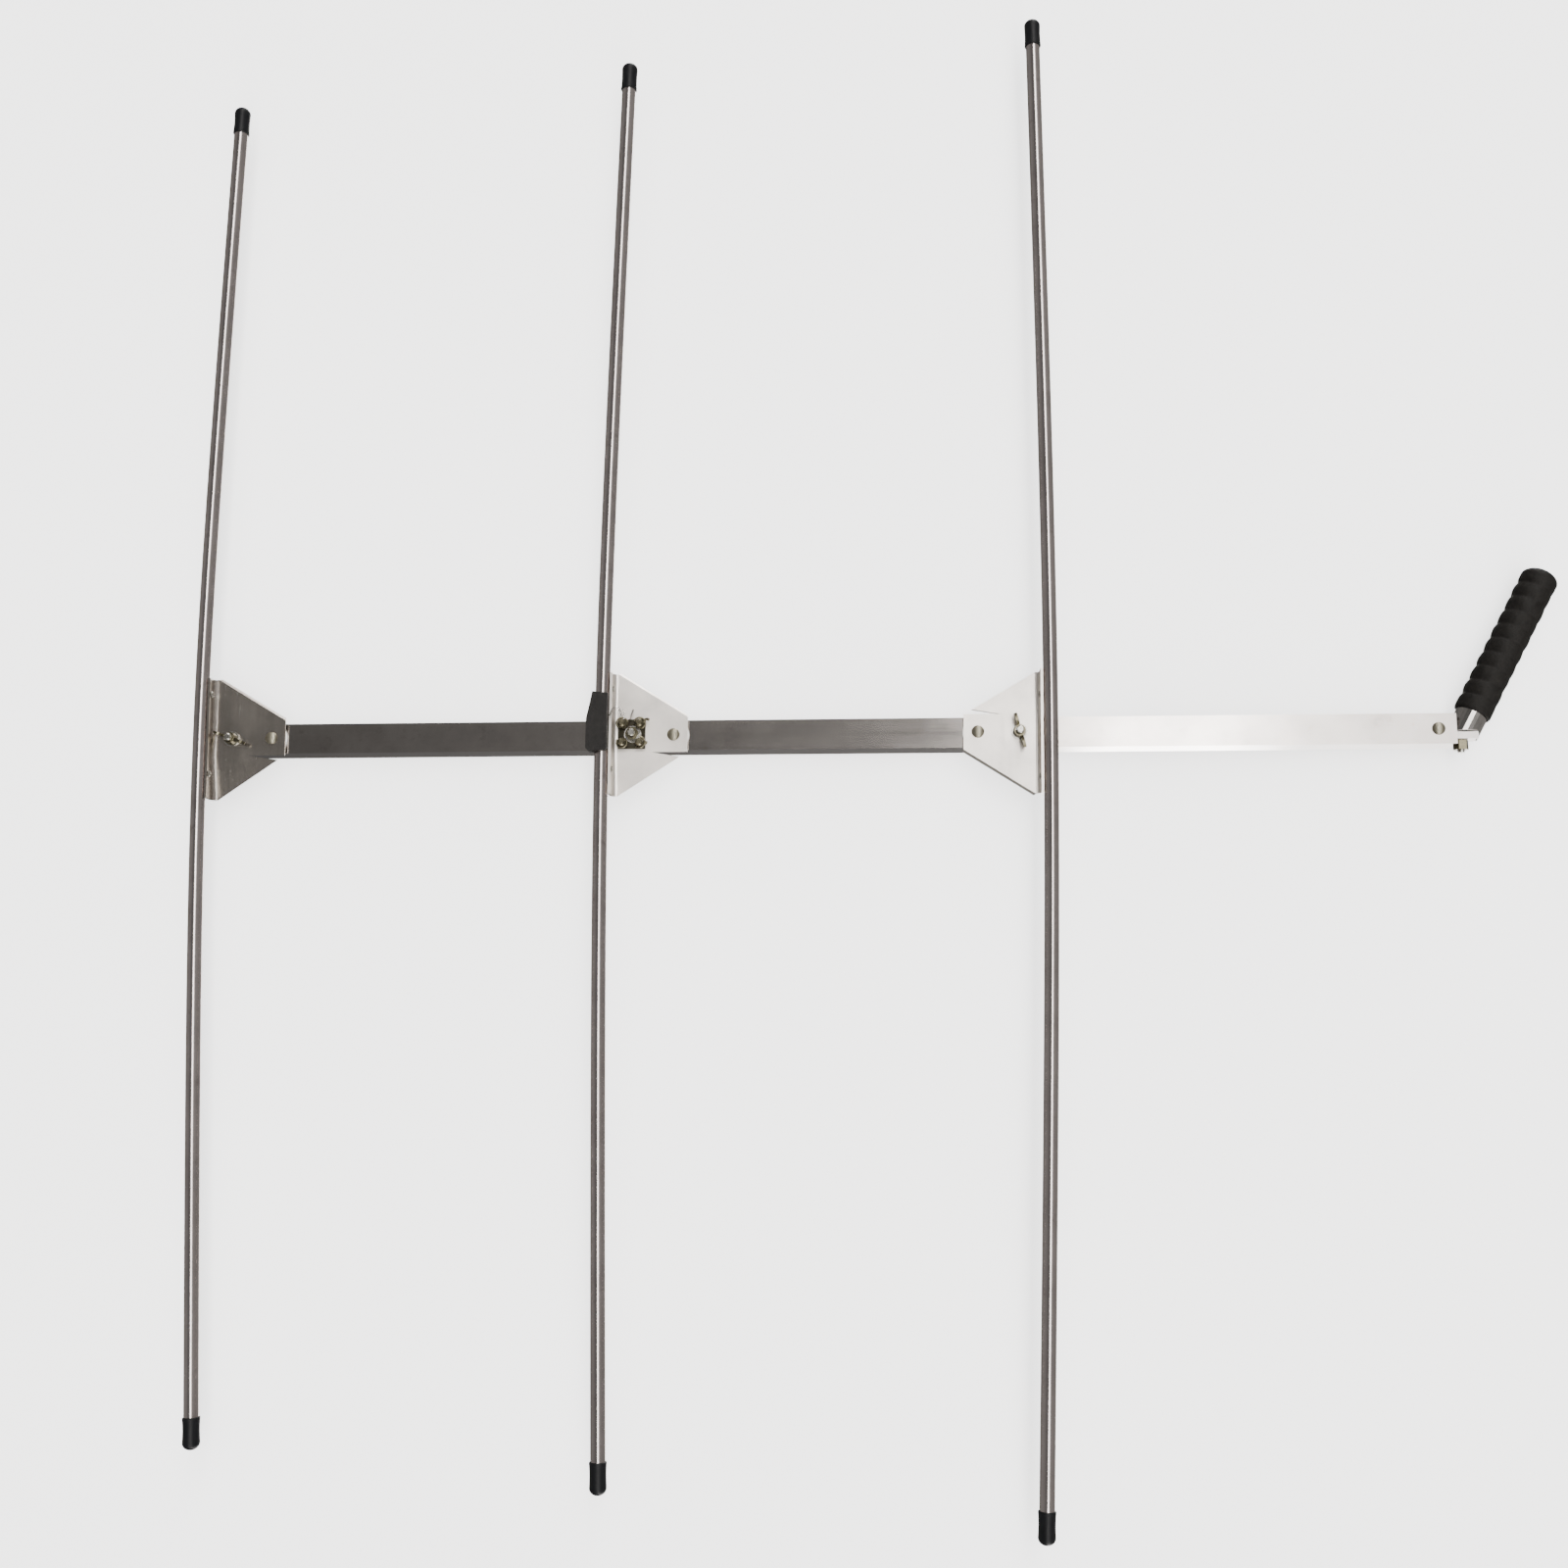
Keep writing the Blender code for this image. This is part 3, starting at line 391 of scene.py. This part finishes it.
def ring(bm, centre, across, up, radius, sides):
    """Row of points round a centre, in the plane of two directions."""
    turns = [2 * pi * k / sides for k in range(sides)]
    return [bm.verts.new(centre + radius * (across * cos(turn) + up * sin(turn))) for turn in turns]


def round_bar(points, radius):
    """Closed round bar along a smooth row of points."""
    bm = bmesh.new()
    rings = []
    for index, point in enumerate(points):
        along = direction(points, index)
        across = along.cross(UP).normalized()
        rings.append(ring(bm, point, across, across.cross(along), radius, WIRE_SIDES))
    for a, b in zip(rings, rings[1:]):
        for k in range(WIRE_SIDES):
            after = (k + 1) % WIRE_SIDES
            bm.faces.new((a[k], a[after], b[after], b[k]))
    bm.faces.new(rings[0][::-1])
    bm.faces.new(rings[-1])
    return bm


# ---------------------------------------------------------------- elements

def element_curve(name):
    """Middle line of an element tube, read from its CAD node, from one end to the other."""
    bins = {}
    for vert in NODES[name + "_tube"].data.vertices:
        bins.setdefault(round(vert.co.y / RING_BIN), []).append(vert.co.copy())
    middles = []
    for group in bins.values():
        low = Vector([min(co[i] for co in group) for i in range(3)])
        high = Vector([max(co[i] for co in group) for i in range(3)])
        if high.z - low.z > WHOLE_RING and high.x - low.x > WHOLE_RING * RING_LEAN:
            middles.append((low + high) / 2)
    middles.sort(key=lambda co: co.y)
    first, last = middles[0], middles[-1]
    centre = min(middles, key=lambda co: abs(co.y - (first.y + last.y) / 2))
    half = (last.y - first.y) / 2
    lean = (last.x - first.x) / 2
    bow = (first.x + last.x) / 2 - centre.x
    points = []
    for k in range(TUBE_STEPS + 1):
        y = first.y + (last.y - first.y) * k / TUBE_STEPS
        share = (y - centre.y) / half
        rise = (hypot(share, BEND_SOFTNESS) - BEND_SOFTNESS) / (hypot(1, BEND_SOFTNESS) - BEND_SOFTNESS)
        points.append(Vector((centre.x + lean * share + bow * rise, y, centre.z)))
    return points


def make_element_tube(name):
    """Fine round tube along the element's bow, open at both ends."""
    bm = bmesh.new()
    points = element_curve(name)
    rings = []
    for index, point in enumerate(points):
        across = direction(points, index).cross(UP).normalized()
        rings.append([ring(bm, point, across, UP, radius, TUBE_SIDES)
                      for radius in (TUBE_RADIUS, TUBE_RADIUS - TUBE_WALL)])
    for k in range(TUBE_SIDES):
        after = (k + 1) % TUBE_SIDES
        for (out_a, in_a), (out_b, in_b) in zip(rings, rings[1:]):
            bm.faces.new((out_a[k], out_a[after], out_b[after], out_b[k]))
            bm.faces.new((in_b[k], in_b[after], in_a[after], in_a[k]))
        for out_ring, in_ring in (rings[0], rings[-1]):
            bm.faces.new((out_ring[k], out_ring[after], in_ring[after], in_ring[k]))
    tube = new_piece(name + "_tube_fine", bm, name + "_element", "element_aluminium")
    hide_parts(name + "_tube")
    return points


def cap_node(name, sign):
    """The CAD cap at the +Y or -Y end of an element."""
    pair = [f"{name}_cap_upper", f"{name}_cap_lower"]
    pair.sort(key=lambda node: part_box(node)[0].y)
    return pair[1] if sign > 0 else pair[0]


def cap_profile():
    """Outline of a cap: its bore, a rolled mouth, a slightly waisted body and a domed end."""
    body = CAP_LENGTH - CAP_DOME
    bore = TUBE_RADIUS + CAP_CLEARANCE
    profile = [(0.0, body - CAP_END_WALL), (bore, body - CAP_END_WALL), (bore, 0.0)]
    profile += [(CAP_RADIUS - inset, height) for inset, height in CAP_MOUTH]
    profile += [(CAP_RADIUS - CAP_BODY_INSET - CAP_WAIST * sin(pi * share),
                 CAP_BODY_FOOT + (body - CAP_BODY_FOOT) * share) for share in shares(CAP_BODY_ROWS)[1:]]
    profile += [(CAP_RADIUS * cos(pi / 2 * share) - CAP_BODY_INSET, body + CAP_DOME * sin(pi / 2 * share))
                for share in shares(CAP_DOME_ROWS)[1:-1]]
    return profile + [(0.0, CAP_LENGTH)]


def make_element_caps(name, points):
    """Soft end caps, pushed over the ends of the tube."""
    for label, sign, end, inner in (("upper", 1, points[-1], points[-3]),
                                    ("lower", -1, points[0], points[2])):
        node_low, node_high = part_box(cap_node(name, sign))
        along = (end - inner).normalized()
        tip_y = node_high.y if sign > 0 else node_low.y
        tip = end + along * ((tip_y - end.y) / along.y)
        base = tip - along * CAP_LENGTH
        bm = turned(cap_profile(), CAP_SIDES)
        turn = UP.rotation_difference(along).to_matrix().to_4x4()
        bmesh.ops.transform(bm, verts=bm.verts, matrix=Matrix.Translation(base) @ turn)
        cap = new_piece(f"{name}_cap_{label}_soft", bm, name + "_element", "black_rubber", MOULDED_SHARP)
        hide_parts(cap_node(name, sign))


# ---------------------------------------------------------------- handle

def grip_profile():
    """Outline of the grip: its bore, a rounded lip, a plain skin and a rounded end."""
    profile = [(0.0, GRIP_BORE_DEPTH), (GRIP_BORE_RADIUS, GRIP_BORE_DEPTH), (GRIP_BORE_RADIUS, 0.0),
               (GRIP_RADIUS - GRIP_MOUTH_INSET, 0.0)]
    for height in [GRIP_LENGTH * k / GRIP_ROWS for k in range(1, GRIP_ROWS)]:
        radius = GRIP_RADIUS - GRIP_SKIN_INSET
        if height < GRIP_LIP:
            radius -= GRIP_LIP_INSET * (1 - height / GRIP_LIP)
        if height > GRIP_LENGTH - GRIP_SHOULDER:
            share = (height - (GRIP_LENGTH - GRIP_SHOULDER)) / GRIP_SHOULDER
            radius *= (1 - share ** 2) ** 0.5
        profile.append((radius, height))
    return profile + [(0.0, GRIP_LENGTH)]


def angle_round_z(co):
    """Angle of a point round the Z axis."""
    return Vector((1, 0)).angle_signed(Vector((co.x, co.y)), 0.0)


def press_grip_skin(bm):
    """Press rings and lumps into the outside of the grip."""
    for vert in bm.verts:
        radius = Vector((vert.co.x, vert.co.y, 0)).length
        height = vert.co.z
        if radius < SKIN_LEAST_RADIUS or height > GRIP_LENGTH - TIP_MARGIN:
            continue
        back = 0.5 + 0.5 * cos(angle_round_z(vert.co) - pi)
        fade = min(1.0, max(0.0, (height - GROOVE_START) / GROOVE_FADE))
        fade *= min(1.0, max(0.0, (GRIP_LENGTH - GROOVE_END - height) / GROOVE_FADE))
        hollow = 1 - abs(sin(pi * height / GROOVE_PITCH)) ** GROOVE_ROUNDNESS
        hollow *= GROOVE_FRONT_SHARE + (1 - GROOVE_FRONT_SHARE) * back
        lump = noise.noise(Vector([value * scale for value, scale in zip(vert.co, LUMP_SCALE)]))
        change = max(fade * (LUMP_DEPTH * lump - GROOVE_DEPTH * hollow), SKIN_LEAST_RADIUS - radius)
        vert.co.x *= 1 + change / radius
        vert.co.y *= 1 + change / radius


def make_grip():
    """Moulded grip with shallow rings, deepest on its back, a lumpy worn skin and a rounded end."""
    low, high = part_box("boom")
    along = Vector((sin(HANDLE_LEAN), cos(HANDLE_LEAN), 0))
    boom_end = Vector((high.x, (low.y + high.y) / 2, (low.z + high.z) / 2))
    base = boom_end + HANDLE_FOOT + along * GRIP_START
    bm = turned(grip_profile(), GRIP_SIDES)
    press_grip_skin(bm)
    stand = Matrix.Rotation(-HANDLE_LEAN, 4, 'Z') @ Matrix.Rotation(-pi / 2, 4, 'X')
    bmesh.ops.transform(bm, verts=bm.verts, matrix=Matrix.Translation(base) @ stand)
    grip = new_piece("handle_grip_moulded", bm, "boom_assembly", "grip_rubber", MOULDED_SHARP)
    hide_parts("handle_grip")


# ---------------------------------------------------------------- feed point details

def over_middle(box, height):
    """Point over the middle of a box, at a height from its bottom."""
    low, high = box
    return Vector(((low.x + high.x) / 2, (low.y + high.y) / 2, low.z + height))


def make_terminal_details(label):
    """Washer and curled solder lug on one terminal."""
    washer_sides, start = TERMINALS[label]
    low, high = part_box(f"feed_terminal_{label}")
    centre = (low + high) / 2
    bm = turned(WASHER_PROFILE, washer_sides)
    bmesh.ops.translate(bm, verts=bm.verts, vec=(centre.x, centre.y, low.z + WASHER_HEIGHT))
    new_piece(f"feed_washer_{label}", bm, "driven_element", "aged_metal")
    curl = [Vector((centre.x + LUG_REACH * cos(start + LUG_TURN * k),
                    centre.y + LUG_REACH * sin(start + LUG_TURN * k),
                    low.z + LUG_HEIGHT + LUG_RISE * k)) for k in range(LUG_POINTS)]
    new_piece(f"feed_lug_{label}", round_bar(curl, LUG_WIRE), "driven_element", "aged_metal")


def make_feed_details():
    """Solder lugs, washers and short wires in the cluster on the driven element."""
    for label in TERMINALS:
        make_terminal_details(label)
    start = over_middle(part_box("feed_terminal_c"), HOOK_HEIGHT)
    run_x, run_y, run_z = UPPER_HOOK_RUN
    hook = [start + Vector((UPPER_HOOK_START + run_x * share,
                            UPPER_HOOK_ARCH * sin(pi * share) + run_y * share,
                            run_z * share)) for share in shares(HOOK_POINTS - 1)]
    new_piece("feed_hook_upper", round_bar(hook, HOOK_WIRE), "driven_element", "aged_metal")
    start = over_middle(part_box("feed_terminal_d"), HOOK_HEIGHT)
    (start_x, start_y), (run_x, run_y) = LOWER_HOOK_START, LOWER_HOOK_RUN
    hook = [start + Vector((start_x + run_x * sin(pi / 2 * share), start_y + run_y * share ** 2, 0.0))
            for share in shares(HOOK_POINTS - 1)]
    new_piece("feed_hook_lower", round_bar(hook, HOOK_WIRE), "driven_element", "aged_metal")
    low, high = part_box("feed_terminal_a")
    start = Vector(((low.x + high.x) / 2, high.y, high.z - RISER_DEPTH))
    (start_x, start_y), (run_x, run_y, run_z) = RISER_START, RISER_RUN
    riser = [start + Vector((start_x + run_x * share, start_y + run_y * share, run_z * share))
             for share in shares(RISER_POINTS - 1)]
    new_piece("feed_wire_riser", round_bar(riser, RISER_WIRE), "driven_element", "tinned_wire")


# ---------------------------------------------------------------- studio

def make_floor():
    """Large pale floor just under the object."""
    centre = (CAD_BOX[0] + CAD_BOX[1]) / 2
    place = (centre.x, centre.y, CAD_BOX[0].z - FLOOR_DROP)
    bpy.ops.mesh.primitive_plane_add(size=FLOOR_SIZE, location=place)
    floor = bpy.context.object
    floor.name = "studio_floor"
    floor.data.materials.append(floor_material())
    floor.visible_glossy = False


def make_sky():
    """Surroundings seen in the metal: dim on the director's side, a bright panel over the handle's side."""
    world = bpy.data.worlds.new("studio")
    bpy.context.scene.world = world
    world.use_nodes = True
    tree = world.node_tree
    direction_node = tree.nodes.new("ShaderNodeTexCoord")
    split = tree.nodes.new("ShaderNodeSeparateXYZ")
    tree.links.new(direction_node.outputs["Generated"], split.inputs["Vector"])
    share = tree.nodes.new("ShaderNodeMapRange")
    share.inputs["From Min"].default_value = -1.0
    tree.links.new(split.outputs["X"], share.inputs["Value"])
    panel = tree.nodes.new("ShaderNodeValToRGB")
    tree.links.new(share.outputs["Result"], panel.inputs["Fac"])
    elements = panel.color_ramp.elements
    for element, position in zip(elements, (0.0, 1.0)):
        element.position = position
        element.color = (*SKY_EDGE, 1.0)
    for across, level in SKY_LEVELS:
        elements.new((across + 1) / 2).color = (*(level * channel for channel in SKY_TINT), 1.0)
    background = tree.nodes["Background"]
    tree.links.new(panel.outputs["Color"], background.inputs["Color"])
    background.inputs["Strength"].default_value = SKY_STRENGTH


def make_soft_lights():
    """Wide soft lights that only the matt surfaces show."""
    for name, (location, size, power) in SOFT_LIGHTS.items():
        data = bpy.data.lights.new(name, 'AREA')
        data.shape = 'RECTANGLE'
        data.size, data.size_y = size
        data.energy = power
        light = bpy.data.objects.new(name, data)
        bpy.context.scene.collection.objects.link(light)
        light.location = location
        light.rotation_euler = (LIGHT_TARGET - Vector(location)).to_track_quat('-Z', 'Y').to_euler()
        light.visible_glossy = False


def make_camera():
    """Camera high over the object, a little towards its near side and its handle."""
    data = bpy.data.cameras.new("camera")
    data.type = 'PERSP'
    data.angle = CAMERA_ANGLE
    camera = bpy.data.objects.new("camera", data)
    bpy.context.scene.collection.objects.link(camera)
    camera.location = CAMERA_PLACE
    camera.rotation_euler = CAMERA_TURN
    bpy.context.scene.camera = camera


make_camera()
dress_cad_nodes()
for element in ELEMENTS:
    line = make_element_tube(element)
    make_element_caps(element, line)
make_grip()
make_feed_details()
make_floor()
make_sky()
make_soft_lights()
